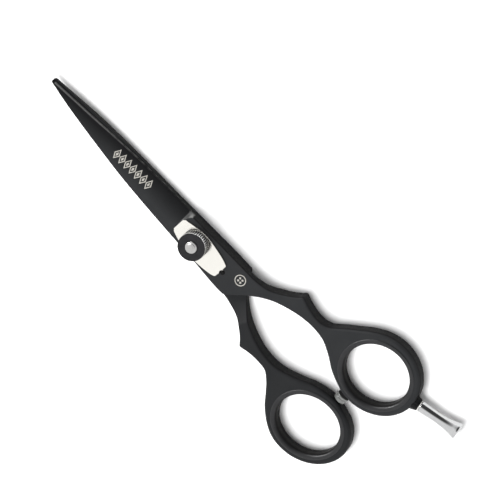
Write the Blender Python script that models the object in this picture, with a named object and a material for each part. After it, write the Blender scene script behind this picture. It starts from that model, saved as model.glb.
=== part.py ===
"""Hair cutting shears, closed, lying flat with the tension dial on top.

The origin is on the pivot axis, in the plane that the shears lie on. +Y runs to the blade
tips, +X to the finger ring and +Z up to the dial. Sizes in this file are in millimetres.
"""

import math

import bmesh
import bpy
import numpy as np
from mathutils import Matrix, Vector
from mathutils.geometry import delaunay_2d_cdt

MM = 0.001

# Heights of the two halves above the surface that the shears lie on
PARTING = 2.9
STACK = 5.8
RIDE_GAP = 0.05
FINGER_FLOOR = PARTING + RIDE_GAP
THUMB_ROOF = PARTING - RIDE_GAP
HANDLE_LOW = 0.2
HANDLE_MID = 0.5 * (HANDLE_LOW + STACK)

# Blades: plan positions of the tip and the shoulder, and the section
TIP_Y = 68.4
SHOULDER_Y = 7.45
SHOULDER_RUN = 0.9
SPINE_THICK = 2.85
TIP_THICK = 1.2
EDGE_THICK = 0.65
FLAT_SHARE = 0.7

# Rounded rims
HANDLE_RIM = 1.3
BODY_RIM = 0.4
TIP_RIM = 0.25
RIM_START_Y = -19.0
RIM_END_Y = -30.0

# Rings: centre, half-width, half-height and lean (degrees) of each oval
FINGER_OVAL = ((13.28, -69.1), 13.33, 14.82, 7.4)
FINGER_HOLE = ((12.95, -69.2), 9.8, 10.95, 16.0)
THUMB_OVAL = ((-16.35, -66.15), 12.3, 14.65, 15.5)
THUMB_HOLE = ((-16.1, -65.85), 9.28, 10.95, 12.0)
RING_ANGLES = np.arange(0, 360, 9)
INSERT_WALL = 1.4
INSERT_GAP = 0.1
INSERT_LIP = 0.4
INSERT_TOP = 6.0

# Pivot stack
BOLT_HEAD_R = 3.5
BOLT_NECK_R = 2.2
BOLT_NECK_FLAT = 1.7
BOLT_R = 1.6
BOLT_FLAT = 1.25
BOLT_TOP = 9.5
SCREW_R = 0.75
SCREW_HEAD_R = 1.92
SCREW_SEAT = 9.9
BUSH_R = 2.5
WASHER_R = 4.4
WASHER_SINK = 0.3
LEAF_LOW = STACK + 0.05
LEAF_TOP = LEAF_LOW + 0.5
LEAF_LEAN = -2.7
LEAF_SHIFT = 0.15
CLICK_R = 3.6
CLICK_LOW = 6.65
CLICK_TOP = 7.1
CLICK_TEETH = 24
CLICK_TOOTH = 0.12
DIAL_R = 4.6
DIAL_LOW = 6.55
DIAL_TOP = 10.4
DIAL_CEILING = 7.2
DIAL_RIBS = 40
RIB_DEPTH = 0.3
NUT_R = 2.3
NUT_TOP = 9.55
BALL_R = 0.4
BALL_ORBIT = 3.05
SPRING_TOP = 8.85
SPRING_WIRE_R = 0.09
SPRING_COIL_R = 0.29
PIN_PLACE = (-0.4, -12.5)
PIN_R = 0.75
PIN_FOOT = 4.4

# Clearances: between faces, around turning shafts and around fixed ones
FACE_GAP = 0.05
RUN_GAP = 0.08
FIXED_GAP = 0.05

# Silencer between the rings
SILENCER_Y = -66.9
SILENCER_R = 2.25
SILENCER_BASE_X = -0.75
SILENCER_END_X = -3.2
SILENCER_STUD_R = 0.53
SILENCER_BOSS = 0.7

# Finger rest, measured along its own axis from the ring's edge
REST_BASE = (15.1, -84.0)
REST_LEAN = 12.9
REST_SEAT = 1.55
REST_LENGTH = 16.3
REST_STUD_R = 1.0


def smooth(points, step):
    """Points about one step apart on a smooth curve through the given points."""
    knots = np.array(points, float)
    span = np.hypot(*np.diff(knots, axis=0).T)
    run = np.concatenate(([0.0], np.cumsum(span)))
    slope = np.gradient(knots, run, axis=0, edge_order=2)
    place = np.linspace(0.0, run[-1], max(2, round(run[-1] / step)) + 1)
    i = np.clip(np.searchsorted(run, place, side="right") - 1, 0, len(span) - 1)
    width = span[i][:, None]
    t = (place[:, None] - run[i][:, None]) / width
    value = (2 * t**3 - 3 * t**2 + 1) * knots[i] + (3 * t**2 - 2 * t**3) * knots[i + 1]
    value += (t**3 - 2 * t**2 + t) * width * slope[i] + (t**3 - t**2) * width * slope[i + 1]
    return value


def oval(shape, angles, outward=0.0):
    """Points of an oval at the given parameter angles (degrees), moved outward if wanted."""
    (cx, cy), half_x, half_y, lean = shape
    angle = np.radians(angles)
    normal = np.stack((np.cos(angle) / half_x, np.sin(angle) / half_y), 1)
    normal /= np.linalg.norm(normal, axis=1)[:, None]
    flat = np.stack((half_x * np.cos(angle), half_y * np.sin(angle)), 1) + outward * normal
    c, s = math.cos(math.radians(lean)), math.sin(math.radians(lean))
    return flat @ np.array(((c, s), (-s, c))) + (cx, cy)


def chain(*runs):
    """One closed loop, counter-clockwise, from runs that start where the last one ended."""
    loop = np.concatenate([run[:-1] for run in runs])
    x, y = loop.T
    area = np.sum(x * np.roll(y, -1) - y * np.roll(x, -1))
    return loop if area > 0 else loop[::-1]


# Edges of the two blades in plan, from the tip down
SHOULDER_TOP = SHOULDER_Y + SHOULDER_RUN
FINGER_SPINE = [(1.75, 66), (0.95, 62), (-0.58, 52), (-1.95, 41), (-2.75, 34), (-3.72, 21),
                (-4.17, 12), (-4.5, 5), (-5.07, -5), (-5.5, -10), (-5.72, -14), (-5.62, -17.3)]
FINGER_EDGE = [(2.78, 67), (3.75, 52), (4.5, 41), (5.05, 31), (5.36, 20), (5.5, 12),
               (5.54, SHOULDER_TOP)]
THUMB_SPINE = [(3.46, 67), (4.33, 57), (4.95, 48.5), (5.2, 41), (5.33, 31), (5.35, 12),
               (5.55, 0), (5.7, -12), (5.62, -17.6)]
THUMB_EDGE = [(1.85, 66), (1.08, 62), (-0.45, 52), (-1.8, 41), (-2.6, 34), (-3.57, 21),
              (-4.02, 12), (-4.2, SHOULDER_TOP)]


def finger_outline():
    """Plan of the finger half: blade, shank, pointed shoulder of the handle, and ring."""
    ring = oval(FINGER_OVAL, np.arange(20, -216, -18)).tolist()
    handle = [(12.6, -34.8), (13.45, -35.5), (13.72, -36.0), (13.5, -36.7), (12.95, -38.1),
              (12.3, -40.5), (11.85, -43), (11.95, -45.8), (13.0, -48.3), (14.6, -50),
              (16.6, -52), (19.4, -55), (22.1, -58)]
    inner = [(3.2, -58), (5.2, -55), (6.95, -52), (7.9, -50), (8.55, -47), (8.7, -44),
             (8.35, -40.5), (7.7, -37.5), (6.8, -34.5), (4.6, -29.3), (1.85, -25.3),
             (0.3, -23.5), (-2.1, -21.1), (-5.15, -18.15)]
    return chain(
        smooth([FINGER_SPINE[0], (1.98, 67.4), (2.2, 68.2), (2.5, TIP_Y), FINGER_EDGE[0]], 0.5),
        smooth(FINGER_EDGE, 3),
        np.array([FINGER_EDGE[-1], (5.6, SHOULDER_Y)]),
        smooth([(5.6, SHOULDER_Y), (5.66, 3), (5.71, -6), (5.72, -14), (5.73, -20)], 5),
        smooth([(5.73, -20), (6.15, -24), (6.85, -26.6), (9.1, -30.6), (10.7, -32.7), handle[0]], 1.2),
        smooth(handle[:6], 0.5),
        smooth(handle[5:] + ring + inner, 1.6),
        smooth([inner[-1], (-5.45, -17.75), FINGER_SPINE[-1]], 0.5),
        smooth(FINGER_SPINE[::-1], 3),
    )


def thumb_outline():
    """Plan of the thumb half: blade, shank, pointed shoulder of the handle, and ring."""
    ring = oval(THUMB_OVAL, np.arange(-30, -226, -18)).tolist()
    inner = [(5.15, -18.5), (2.2, -20.4), (-1.6, -23.4), (-4.8, -27.3), (-6.47, -30), (-7.9, -33),
             (-9.0, -36), (-9.8, -39), (-10.15, -42), (-10.1, -45), (-9.5, -48), (-8.4, -51),
             (-6.8, -54.5), (-5.1, -58), (-4.0, -61.5), (-3.4, -65), (-3.38, -67)]
    handle = [(-22.6, -52.2), (-19.0, -49.3), (-15.3, -46.0), (-13.75, -44), (-13.3, -41),
              (-13.35, -38), (-13.75, -35.2)]
    cusp = [(-13.75, -35.2), (-14.15, -33.7), (-14.2, -33.0), (-13.65, -32.4), (-12.6, -31.6)]
    return chain(
        smooth([THUMB_EDGE[0], (2.2, 67.4), (2.6, 68.2), (2.95, TIP_Y), (3.25, 68.1),
                THUMB_SPINE[0]], 0.5),
        smooth(THUMB_SPINE, 3),
        smooth([THUMB_SPINE[-1], (5.5, -18.1), inner[0]], 0.5),
        smooth(inner + ring + handle, 1.6),
        smooth(cusp, 0.5),
        smooth([cusp[-1], (-11.05, -30), (-9.05, -27.5), (-7.95, -25), (-7.3, -22),
                (-6.75, -18.3)], 1.5),
        smooth([(-6.75, -18.3), (-6.2, -14), (-5.5, -8), (-4.8, 0), (-4.25, SHOULDER_Y)], 4),
        np.array([(-4.25, SHOULDER_Y), THUMB_EDGE[-1]]),
        smooth(THUMB_EDGE[::-1], 3),
    )


def across(spine, edge, x, y):
    """Share of the blade's width from its cutting edge, 0, to its spine, 1."""
    spine_x = np.interp(y, *np.array(spine)[::-1, ::-1].T)
    edge_x = np.interp(y, *np.array(edge)[::-1, ::-1].T)
    return np.clip((x - edge_x) / (spine_x - edge_x), 0, 1)


def blade_thickness(share, y):
    """Thickness of a blade: full at the spine, falling in a curve to the cutting edge."""
    along = np.clip((y - SHOULDER_Y) / (TIP_Y - SHOULDER_Y), 0, 1)
    spine = SPINE_THICK + (TIP_THICK - SPINE_THICK) * along
    crown = 1 - (1 - np.minimum(share / FLAT_SHARE, 1)) ** 2
    body = np.clip((SHOULDER_Y + SHOULDER_RUN - y) / SHOULDER_RUN, 0, 1)
    ground = EDGE_THICK + (spine - EDGE_THICK) * crown
    return ground + (SPINE_THICK - ground) * body


def past(line, x, y):
    """Distance of points past a line, given as two points, on its right-hand side."""
    (ax, ay), (bx, by) = line
    return ((x - ax) * (by - ay) - (y - ay) * (bx - ax)) / math.hypot(bx - ax, by - ay)


def ramp(start, end, x, y):
    """0 before the start line, 1 past the end line, and a hollow rise between them."""
    gone = np.maximum(past(start, x, y), 0)
    left = np.maximum(-past(end, x, y), 0)
    return (gone / np.maximum(gone + left, 1e-9)) ** 1.4


# The lines where each shank starts and stops changing level behind the pivot
FINGER_RAMP = (((-1.2, -25.0), (6.6, -18.6)), ((4.2, -29.6), (9.2, -28.4)))
THUMB_RAMP = (((-7.4, -17.4), (0.4, -24.8)), ((-9.8, -27.8), (-5.6, -29.7)))


def finger_top(x, y):
    share = across(FINGER_SPINE, FINGER_EDGE, x, y)
    return FINGER_FLOOR + blade_thickness(share, y)


def finger_bottom(x, y):
    return FINGER_FLOOR + (HANDLE_LOW - FINGER_FLOOR) * ramp(*FINGER_RAMP, x, y)


def thumb_top(x, y):
    return THUMB_ROOF + (STACK - THUMB_ROOF) * ramp(*THUMB_RAMP, x, y)


def thumb_bottom(x, y):
    share = across(THUMB_SPINE, THUMB_EDGE, x, y)
    return THUMB_ROOF - blade_thickness(share, y) + HANDLE_LOW * ramp(*THUMB_RAMP, x, y)


def handle_share(y):
    return np.clip((RIM_START_Y - y) / (RIM_START_Y - RIM_END_Y), 0, 1)


def outer_rim(x, y):
    """Rounding on the outside faces, wide on the handles and narrow at the tip."""
    tip = np.clip((y - SHOULDER_Y) / (TIP_Y - SHOULDER_Y), 0, 1)
    body = BODY_RIM + (TIP_RIM - BODY_RIM) * tip
    return body + (HANDLE_RIM - body) * handle_share(y)


def parting_rim(x, y):
    """Rounding on the faces that meet at the parting plane: none until the handles."""
    return HANDLE_RIM * handle_share(y + 3.0)


def nearest(points, loop):
    """Distance to a closed loop, with the place of the nearest point on the loop."""
    side = np.roll(loop, -1, 0) - loop
    offset = points[:, None] - loop[None]
    t = np.clip((offset * side).sum(2) / (side**2).sum(1), 0, 1)
    gap = np.linalg.norm(offset - t[..., None] * side, axis=2)
    best = gap.argmin(1)
    row = np.arange(len(points))
    return gap[row, best], loop[best] + t[row, best][:, None] * side[best]


def inside(points, loop):
    """True for the points that lie within a closed loop."""
    x, y = points.T[:, :, None]
    ax, ay = loop.T[:, None]
    bx, by = np.roll(loop, -1, 0).T[:, None]
    crossing = (ay > y) != (by > y)
    edge_x = ax + (y - ay) * (bx - ax) / np.where(by == ay, 1, by - ay)
    return (np.sum(crossing & (x < edge_x), axis=1) % 2) == 1


def rounding(gap, radius):
    """Height lost at a distance from a rim that has the given rounding radius."""
    inset = np.clip(radius - gap, 0, radius)
    return radius - np.sqrt(radius**2 - inset**2)


def plate(name, material, loop, holes, faces, rims, inner, levels=3):
    """A closed solid over a plan outline, between two curved faces with rounded rims."""
    radius = np.maximum(rims[0](*loop.T), rims[1](*loop.T))
    tangent = np.roll(loop, -1, 0) - np.roll(loop, 1, 0)
    inward = np.stack((-tangent[:, 1], tangent[:, 0]), 1) / np.linalg.norm(tangent, axis=1)[:, None]
    field = [np.array(inner, float).reshape(-1, 2)]
    gap, _ = nearest(field[0], loop)
    field[0] = field[0][gap > 0.5]
    for level in range(1, levels + 1):
        inset = radius * (1 - math.cos(math.radians(90 * level / levels)))
        point = loop + inward * inset[:, None]
        gap, _ = nearest(point, loop)
        field.append(point[(gap > 0.97 * inset) & (inset > 0.05)])
    field = np.concatenate(field)
    clear = inside(field, loop)
    for hole in holes:
        clear &= ~inside(field, hole) & (nearest(field, hole)[0] > 0.1)

    points = [*loop, *np.concatenate(holes), *field[clear]]
    rows = []
    first = 0
    for closed in (loop, *holes):
        count = len(closed)
        rows += [(first + i, first + (i + 1) % count) for i in range(count)]
        first += count
    plan, _, triangles, *_ = delaunay_2d_cdt([Vector(p) for p in points], rows, [], 0, 1e-5)
    plan = np.array([tuple(p) for p in plan])
    triangles = np.array(triangles)
    middle = plan[triangles].mean(1)
    kept = inside(middle, loop)
    for hole in holes:
        kept &= ~inside(middle, hole)
    triangles = triangles[kept]

    gap, rim_place = nearest(plan, loop)
    high = faces[0](*plan.T) - rounding(gap, rims[0](*rim_place.T))
    low = faces[1](*plan.T) + rounding(gap, rims[1](*rim_place.T))
    used, triangles = np.unique(triangles, return_inverse=True)
    triangles = triangles.reshape(-1, 3)
    edges = {(t[i], t[(i + 1) % 3]) for t in triangles.tolist() for i in range(3)}
    outer = [(a, b) for a, b in sorted(edges) if (b, a) not in edges]

    mesh = bmesh.new()
    top = [mesh.verts.new(Vector((*plan[i], high[i])) * MM) for i in used]
    bottom = [mesh.verts.new(Vector((*plan[i], low[i])) * MM) for i in used]
    for a, b, c in triangles:
        mesh.faces.new((top[a], top[b], top[c]))
        mesh.faces.new((bottom[c], bottom[b], bottom[a]))
    for a, b in outer:
        mesh.faces.new((top[b], top[a], bottom[a], bottom[b]))
    return finish(name, mesh, material)


def finish(name, mesh, material):
    """Turn a bmesh into a named, smoothly shaded object with its material."""
    bmesh.ops.recalc_face_normals(mesh, faces=mesh.faces)
    data = bpy.data.meshes.new(name)
    mesh.to_mesh(data)
    mesh.free()
    data.shade_smooth()
    data.set_sharp_from_angle(angle=math.radians(30))
    data.materials.append(material)
    piece = bpy.data.objects.new(name, data)
    bpy.context.collection.objects.link(piece)
    return piece


def rings(profile, segments=32, flat=None):
    """Grid of points: one ring for each (radius, height), with two flats where wanted."""
    angle = np.arange(segments) * 2 * math.pi / segments
    grid = np.array([[(r * math.cos(a), r * math.sin(a), z) for a in angle] for r, z in profile])
    if flat is not None:
        limit = np.array(flat, float)[:, None]
        grid[:, :, 1] = np.clip(grid[:, :, 1], -limit, limit)
    return grid


def skin(name, grid, material, tube=False):
    """Solid through rings of points, closed by end faces, or joined end to end as a tube."""
    mesh = bmesh.new()
    rows = [[mesh.verts.new(Vector(p) * MM) for p in ring] for ring in grid]
    pairs = list(zip(rows, rows[1:]))
    if tube:
        pairs.append((rows[-1], rows[0]))
    else:
        mesh.faces.new(rows[0][::-1])
        mesh.faces.new(rows[-1])
    for lower, upper in pairs:
        for i in range(len(lower)):
            j = (i + 1) % len(lower)
            mesh.faces.new((lower[i], lower[j], upper[j], upper[i]))
    return finish(name, mesh, material)


def sleeve(name, bore, outer, low, high, material, segments=32):
    """A plain ring with a square section."""
    profile = [(bore, low), (outer, low), (outer, high), (bore, high)]
    return skin(name, rings(profile, segments), material, tube=True)


def combine(piece, tool, operation):
    """Cut a helper from a piece or weld it on; the helper itself isn't part of the shears."""
    step = piece.modifiers.new(tool.name, "BOOLEAN")
    step.operation = operation
    step.solver = "EXACT"
    step.object = tool
    tool.hide_render = True
    tool.display_type = "WIRE"


def stand(piece, place, direction):
    """Put a turned piece with its base at a place and its axis along a direction."""
    turn = Vector((0, 0, 1)).rotation_difference(Vector(direction))
    piece.matrix_world = Matrix.Translation(Vector(place) * MM) @ turn.to_matrix().to_4x4()


def paint(name, colour, roughness, metallic):
    material = bpy.data.materials.new(name)
    material.use_nodes = True
    shader = material.node_tree.nodes["Principled BSDF"]
    shader.inputs["Base Color"].default_value = (*colour, 1)
    shader.inputs["Roughness"].default_value = roughness
    shader.inputs["Metallic"].default_value = metallic
    return material


def line_points(line, count, share):
    """Points across a shank, on a line part of the way between two ramp lines."""
    (a, b), (c, d) = np.array(line)
    start = a + (c - a) * share
    end = b + (d - b) * share
    return [start + (end - start) * t for t in np.linspace(0, 1, count)]


def blade_points(spine, edge):
    """Points that carry the curved face of a blade and its shoulder."""
    stations = [SHOULDER_Y, SHOULDER_TOP, *np.linspace(12, 64, 14)]
    spine_x = np.interp(stations, *np.array(spine)[::-1, ::-1].T)
    edge_x = np.interp(stations, *np.array(edge)[::-1, ::-1].T)
    shares = (0.12, 0.25, 0.4, 0.55, 0.7, 0.88)
    return [(e + (s - e) * f, y) for y, s, e in zip(stations, spine_x, edge_x) for f in shares]


def insert_section():
    """Section of a ring insert: (distance out from the finger hole, height)."""
    middle = 0.5 * INSERT_TOP
    lip_low = STACK + RIDE_GAP - middle
    upper = [(0.12, 0.0), (0.0, 1.5), (0.02, 2.3), (0.22, 2.75), (0.7, INSERT_TOP - middle),
             (1.25, INSERT_TOP - middle - 0.02), (INSERT_WALL + INSERT_LIP, lip_low),
             (INSERT_WALL, lip_low)]
    lower = [(d, -h) for d, h in upper[:0:-1]]
    return [(d, middle + h) for d, h in upper + lower]


def ring_insert(name, hole, material):
    grid = []
    for out, height in insert_section():
        ring = oval(hole, RING_ANGLES, out)
        grid.append([(x, y, height) for x, y in ring])
    return skin(name, np.array(grid), material, tube=True)


def build_finger_half(coat):
    bore = oval(FINGER_HOLE, RING_ANGLES, INSERT_WALL + INSERT_GAP)
    carriers = blade_points(FINGER_SPINE, FINGER_EDGE)
    for share in (0.0, 0.3, 0.65, 1.0):
        carriers += line_points(FINGER_RAMP, 9, share)
    half = plate("finger_blade", coat, finger_outline(), [bore], (finger_top, finger_bottom),
                 (outer_rim, parting_rim), carriers)
    bush_r = BUSH_R + FIXED_GAP
    sink_r = WASHER_R + 0.15
    below = FINGER_FLOOR - 1
    tools = [
        ("pivot_bore", rings([(bush_r, below), (bush_r, STACK + 1)])),
        ("washer_sink", rings([(sink_r, below), (sink_r, FINGER_FLOOR + WASHER_SINK)])),
    ]
    for name, grid in tools:
        combine(half, skin(name, grid, coat), "DIFFERENCE")
    pin_r = PIN_R + FIXED_GAP
    pin_hole = skin("pin_hole", rings([(pin_r, PIN_FOOT - 0.1), (pin_r, STACK + 1)], 16), coat)
    pin_hole.location = Vector((*PIN_PLACE, 0)) * MM
    combine(half, pin_hole, "DIFFERENCE")

    rest_place = (*REST_BASE, HANDLE_MID)
    rest_boss = [(2.4, -1.0), (2.4, 0.1), (2.2, 0.6), (1.95, REST_SEAT)]
    rest_hole = [(REST_STUD_R + 0.1, -1.2), (REST_STUD_R + 0.1, REST_SEAT + 1)]
    silencer_place = (SILENCER_BASE_X + SILENCER_BOSS, SILENCER_Y, HANDLE_MID)
    silencer_boss = [(1.95, -1.3), (1.95, 0.5), (1.8, SILENCER_BOSS)]
    silencer_hole = [(SILENCER_STUD_R + RUN_GAP, -1.2), (SILENCER_STUD_R + RUN_GAP, 1.5)]
    for name, profile, operation, place, direction in (
        ("rest_boss", rest_boss, "UNION", rest_place, rest_direction()),
        ("rest_hole", rest_hole, "DIFFERENCE", rest_place, rest_direction()),
        ("silencer_boss", silencer_boss, "UNION", silencer_place, (-1, 0, 0)),
        ("silencer_hole", silencer_hole, "DIFFERENCE", silencer_place, (-1, 0, 0)),
    ):
        tool = skin(name, rings(profile, 20), coat)
        stand(tool, place, direction)
        combine(half, tool, operation)


def rest_direction():
    lean = math.radians(REST_LEAN)
    return (math.sin(lean), -math.cos(lean), 0)


def build_thumb_half(coat):
    bore = oval(THUMB_HOLE, RING_ANGLES, INSERT_WALL + INSERT_GAP)
    carriers = blade_points(THUMB_SPINE, THUMB_EDGE)
    for share in (0.0, 0.3, 0.65, 1.0):
        carriers += line_points(THUMB_RAMP, 9, share)
    half = plate("thumb_blade", coat, thumb_outline(), [bore], (thumb_top, thumb_bottom),
                 (parting_rim, outer_rim), carriers)
    head = [(BOLT_HEAD_R + 0.1, -1), (BOLT_HEAD_R + 0.1, 0.4), (BOLT_NECK_R + 0.1, 1.45)]
    neck = [(BOLT_NECK_R + FIXED_GAP, 1), (BOLT_NECK_R + FIXED_GAP, PARTING)]
    sink_r = WASHER_R + 0.15
    tools = [
        ("head_sink", rings(head)),
        ("neck_slot", rings(neck, flat=[BOLT_NECK_FLAT + FIXED_GAP] * 2)),
        ("washer_seat", rings([(sink_r, THUMB_ROOF - WASHER_SINK), (sink_r, PARTING + 1)])),
    ]
    for name, grid in tools:
        combine(half, skin(name, grid, coat), "DIFFERENCE")


def build_pivot(steel, polished, bronze, nylon):
    bolt = [(BOLT_HEAD_R - 0.1, 0.0), (BOLT_HEAD_R, 0.1), (BOLT_HEAD_R, 0.35), (BOLT_NECK_R, 1.35),
            (BOLT_NECK_R, 1.4), (BOLT_NECK_R, 2.5), (BOLT_R, 2.5), (BOLT_R, 6.45), (BOLT_R, 6.45),
            (BOLT_R, BOLT_TOP - 0.2), (BOLT_R - 0.2, BOLT_TOP), (SCREW_R + 0.1, BOLT_TOP),
            (SCREW_R + 0.1, 7.5)]
    uncut = BOLT_HEAD_R + 1
    flat = [uncut] * 4 + [BOLT_NECK_FLAT] * 2 + [uncut] * 2 + [BOLT_FLAT] * 3 + [uncut] * 2
    skin("pivot_bolt", rings(bolt, flat=flat), steel)
    sleeve("pivot_bush", BOLT_R + RUN_GAP, BUSH_R, FINGER_FLOOR + WASHER_SINK + 0.1,
           STACK - FACE_GAP, bronze)
    sleeve("glide_washer", BUSH_R, WASHER_R, THUMB_ROOF - WASHER_SINK + FACE_GAP,
           FINGER_FLOOR + WASHER_SINK - FACE_GAP, nylon)
    pin = [(PIN_R, PIN_FOOT), (PIN_R, STACK + 0.05), (PIN_R - 0.15, STACK + 0.2), (0.2, STACK + 0.25)]
    skin("leaf_pin", rings(pin, 16), steel).location = Vector((*PIN_PLACE, 0)) * MM
    screw = [(SCREW_R, 7.8), (SCREW_R, SCREW_SEAT), (SCREW_HEAD_R - 0.1, SCREW_SEAT),
             (SCREW_HEAD_R, 10.0), (SCREW_HEAD_R, 10.7), (1.7, 10.86), (1.1, 11.03), (0.4, 11.1)]
    skin("dial_screw", rings(screw), polished)


def leaf_outline():
    """Half of the leaf plate's edge, from its head to its notched tail, then mirrored."""
    side = smooth([(2.1, 8.05), (2.75, 7.5), (3.4, 5.5), (4.05, 2.6), (4.5, -0.4), (4.42, -3.0),
                   (4.15, -5.6), (3.7, -8.4), (3.1, -10.8), (2.75, -11.7), (2.2, -12.0)], 1.1)
    notch_r = PIN_R + 0.15
    tail = [(notch_r * math.sin(a), PIN_PLACE[1] + FACE_GAP + notch_r * math.cos(a))
            for a in np.radians((75, 50, 25, 0))]
    half = [tuple(p) for p in side] + [(1.0, -12.1)] + tail
    mirrored = [(-x, y) for x, y in half[-2::-1]]
    lean = math.radians(LEAF_LEAN)
    c, s = math.cos(lean), math.sin(lean)
    return np.array([(c * x - s * y + LEAF_SHIFT, s * x + c * y) for x, y in half + mirrored])


def build_leaf(polished):
    loop = leaf_outline()[::-1]
    hole = rings([(BOLT_R + 0.15, 0)])[0][:, :2]
    faces = (lambda x, y: LEAF_TOP + 0 * x, lambda x, y: LEAF_LOW + 0 * x)
    rims = (lambda x, y: 0.12 + 0 * x, lambda x, y: 0 * x)
    plate("tension_leaf", polished, loop, [hole], faces, rims, [(0, 4), (0, -6)], levels=1)


def build_dial(black, steel):
    sleeve("dial_washer", BOLT_R + 0.15, CLICK_R, LEAF_TOP + FACE_GAP, CLICK_LOW - FACE_GAP, steel)
    bore = BOLT_R + RUN_GAP
    click = rings([(bore, CLICK_LOW), (CLICK_R, CLICK_LOW), (CLICK_R, CLICK_TOP),
                   (2.3, CLICK_TOP), (bore, CLICK_TOP)], 2 * CLICK_TEETH)
    keyway = BOLT_FLAT + FIXED_GAP
    for row in (0, 4):
        click[row, :, 1] = np.clip(click[row, :, 1], -keyway, keyway)
    click[2, ::2, 2] -= CLICK_TOOTH
    skin("click_ring", click, steel, tube=True)

    well = SCREW_HEAD_R + 0.18
    shelf = NUT_TOP + FACE_GAP
    core = NUT_R + FIXED_GAP
    skirt = CLICK_R + 0.15
    profile = [(core, DIAL_CEILING), (skirt, DIAL_CEILING), (skirt, DIAL_LOW),
               (DIAL_R - 0.35, DIAL_LOW), (DIAL_R, DIAL_LOW + 0.2), (DIAL_R, DIAL_TOP - 0.35),
               (DIAL_R - 0.2, DIAL_TOP), (well, DIAL_TOP), (well, shelf), (core, shelf)]
    grid = rings(profile, 2 * DIAL_RIBS)
    grid[4:6, ::2, :2] *= 1 - RIB_DEPTH / DIAL_R
    dial = skin("tension_dial", grid, black, tube=True)
    pocket_r = BALL_R + 0.06
    pocket = skin("ball_pocket", rings([(pocket_r, DIAL_CEILING - 0.5), (pocket_r, 9.0)], 16), black)
    pocket.location = Vector((BALL_ORBIT, 0, 0)) * MM
    combine(dial, pocket, "DIFFERENCE")
    sleeve("dial_nut", bore, NUT_R, DIAL_CEILING + FACE_GAP, NUT_TOP, steel)

    ball_z = CLICK_TOP + FACE_GAP + BALL_R
    tilt = np.radians(np.linspace(-84, 84, 9))
    profile = [(BALL_R * math.cos(t), BALL_R * math.sin(t)) for t in tilt]
    ball = skin("detent_ball", rings(profile, 14), steel)
    ball.location = Vector((BALL_ORBIT, 0, ball_z)) * MM
    build_spring(ball_z + BALL_R + 0.15, steel)


def build_spring(low, steel):
    """Round-wire coil spring above the detent ball."""
    turns, per_turn, sides = 3, 12, 6
    steps = turns * per_turn
    climb = SPRING_TOP - low - 2 * SPRING_WIRE_R
    grid = []
    for step in range(steps + 1):
        angle = 2 * math.pi * step / per_turn
        out = np.array((math.cos(angle), math.sin(angle), 0))
        centre = SPRING_COIL_R * out + (0, 0, low + SPRING_WIRE_R + climb * step / steps)
        section = np.arange(sides) * 2 * math.pi / sides
        grid.append([centre + SPRING_WIRE_R * (math.cos(a) * out + np.array((0, 0, math.sin(a))))
                     for a in section])
    spring = skin("detent_spring", np.array(grid), steel)
    spring.location = Vector((BALL_ORBIT, 0, 0)) * MM


def build_silencer(steel, clear):
    length = SILENCER_BASE_X - SILENCER_END_X
    place = (SILENCER_BASE_X, SILENCER_Y, HANDLE_MID)
    outside = [(SILENCER_R - 0.2, FACE_GAP), (SILENCER_R, 0.25), (SILENCER_R, length - 0.45),
               (SILENCER_R - 0.35, length), (0.3, length)]
    socket_r = SILENCER_STUD_R + RUN_GAP
    bumper = skin("silencer_bumper", rings(outside, 24), clear)
    socket = skin("stud_socket", rings([(socket_r, -1), (socket_r, length - 0.7)], 12), clear)
    shaft = [(SILENCER_STUD_R, -1.7), (SILENCER_STUD_R, length - 0.8)]
    stud = skin("silencer_stud", rings(shaft, 12), steel)
    for piece in (bumper, socket, stud):
        stand(piece, place, (-1, 0, 0))
    combine(bumper, socket, "DIFFERENCE")


def build_rest(polished, steel, nylon):
    place = (*REST_BASE, HANDLE_MID)
    low = REST_SEAT + FACE_GAP
    high = low + 0.2
    horn = [(1.8, high + FACE_GAP), (1.95, high + 0.2), (1.93, 3.2), (1.86, 5.0), (1.77, 7.0),
            (1.78, 8.6), (1.88, 10.4), (2.08, 12.0), (2.42, 13.7), (2.8, 15.1), (2.93, 15.7),
            (2.9, 16.0), (2.6, REST_LENGTH), (0.5, REST_LENGTH)]
    socket_r = REST_STUD_R + FIXED_GAP
    shaft = [(REST_STUD_R - 0.2, -1.0), (REST_STUD_R, -0.8), (REST_STUD_R, 5.9)]
    rest = skin("finger_rest", rings(horn, 28), polished)
    socket = skin("rest_socket", rings([(socket_r, 0), (socket_r, 6.0)], 16), steel)
    washer = sleeve("finger_rest_washer", REST_STUD_R + 0.1, 1.85, low, high, nylon, 24)
    stud = skin("finger_rest_stud", rings(shaft, 16), steel)
    for piece in (rest, socket, washer, stud):
        stand(piece, place, rest_direction())
    combine(rest, socket, "DIFFERENCE")


def main():
    for old in list(bpy.data.objects):
        bpy.data.objects.remove(old)
    coat = paint("black_coat", (0.022, 0.023, 0.025), 0.42, 0.35)
    polished = paint("polished_steel", (0.78, 0.77, 0.74), 0.12, 1.0)
    steel = paint("bare_steel", (0.55, 0.55, 0.54), 0.3, 1.0)
    brass = paint("brass", (0.72, 0.55, 0.25), 0.3, 1.0)
    soft = paint("soft_black", (0.02, 0.02, 0.021), 0.5, 0.0)
    nylon = paint("nylon", (0.8, 0.79, 0.75), 0.5, 0.0)
    dial_black = paint("dial_black", (0.025, 0.025, 0.027), 0.35, 0.5)
    clear = paint("grey_bumper", (0.16, 0.16, 0.16), 0.2, 0.0)

    build_finger_half(coat)
    build_thumb_half(coat)
    build_pivot(steel, polished, brass, nylon)
    build_leaf(polished)
    build_dial(dial_black, steel)
    ring_insert("finger_ring_insert", FINGER_HOLE, soft)
    ring_insert("thumb_ring_insert", THUMB_HOLE, soft)
    build_silencer(steel, clear)
    build_rest(polished, steel, nylon)


main()
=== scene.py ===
"""Looks for the hair cutting shears: finer visible pieces, materials, light and camera."""

import math

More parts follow.
